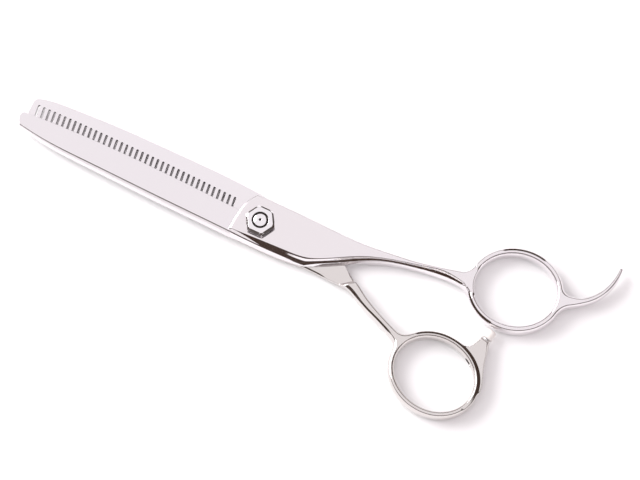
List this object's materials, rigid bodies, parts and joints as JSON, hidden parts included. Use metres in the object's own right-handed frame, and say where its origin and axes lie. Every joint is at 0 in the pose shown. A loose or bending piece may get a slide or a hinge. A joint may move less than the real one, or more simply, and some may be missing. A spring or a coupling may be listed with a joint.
{
  "type": "thinning shears",
  "caption": "Hairdresser's thinning shears: a plain blade over a toothed comb blade, offset ring handles, curved finger rest, bumper and hexagonal tension dial.",
  "frame": {"origin": "on the pivot axis, at the flat back face of the pivot bolt's head", "axes": "+X from the pivot towards the ring handles, +Y towards the finger ring's side, +Z along the pivot axis towards the tension dial"},
  "size_m": [0.1651, 0.0594, 0.0081],
  "materials": {
    "plain_blade_steel": "polished stainless steel with a satin blade face",
    "comb_blade_steel": "polished stainless steel with a satin blade face",
    "hardware_steel": "turned stainless steel",
    "bush_brass": "turned",
    "washer_polymer": "matt",
    "spring_steel": "spring temper",
    "dial_steel": "bright polished",
    "bumper_polymer": "translucent white silicone"
  },
  "bodies": {
    "finger_half": {"straight_half": "plain_blade_steel", "bearing_bush": "bush_brass", "thrust_washer": "hardware_steel"},
    "thumb_half": {"comb_half": "comb_blade_steel", "pivot_bolt": "hardware_steel", "lock_screw": "dial_steel", "glide_washer": "washer_polymer", "disc_spring_lower": "spring_steel", "disc_spring_upper": "spring_steel", "bumper": "bumper_polymer", "bumper_stud": "hardware_steel"},
    "click_stage": {"click_plate": "hardware_steel"},
    "dial": {"hex_dial": "dial_steel"}
  },
  "joints": [
    {"name": "pivot", "type": "hinge", "parent": "finger_half", "child": "thumb_half", "pos_m": [0, 0, 0.0028], "axis": [0, 0, -1], "range_deg": [0, 145]},
    {"name": "tension_travel", "type": "slide", "parent": "thumb_half", "child": "click_stage", "axis": [0, 0, -1], "range_m": [-0.0000874, 0.0001748], "deforming": ["disc_spring_lower", "disc_spring_upper"]},
    {"name": "tension_dial", "type": "hinge", "parent": "click_stage", "child": "dial", "pos_m": [0, 0, 0.0068], "axis": [0, 0, -1], "range_deg": [-90, 180]}
  ],
  "couplings": [
    {"joint": "tension_dial", "follows": "tension_travel", "rad_per_m": 17953}
  ]
}
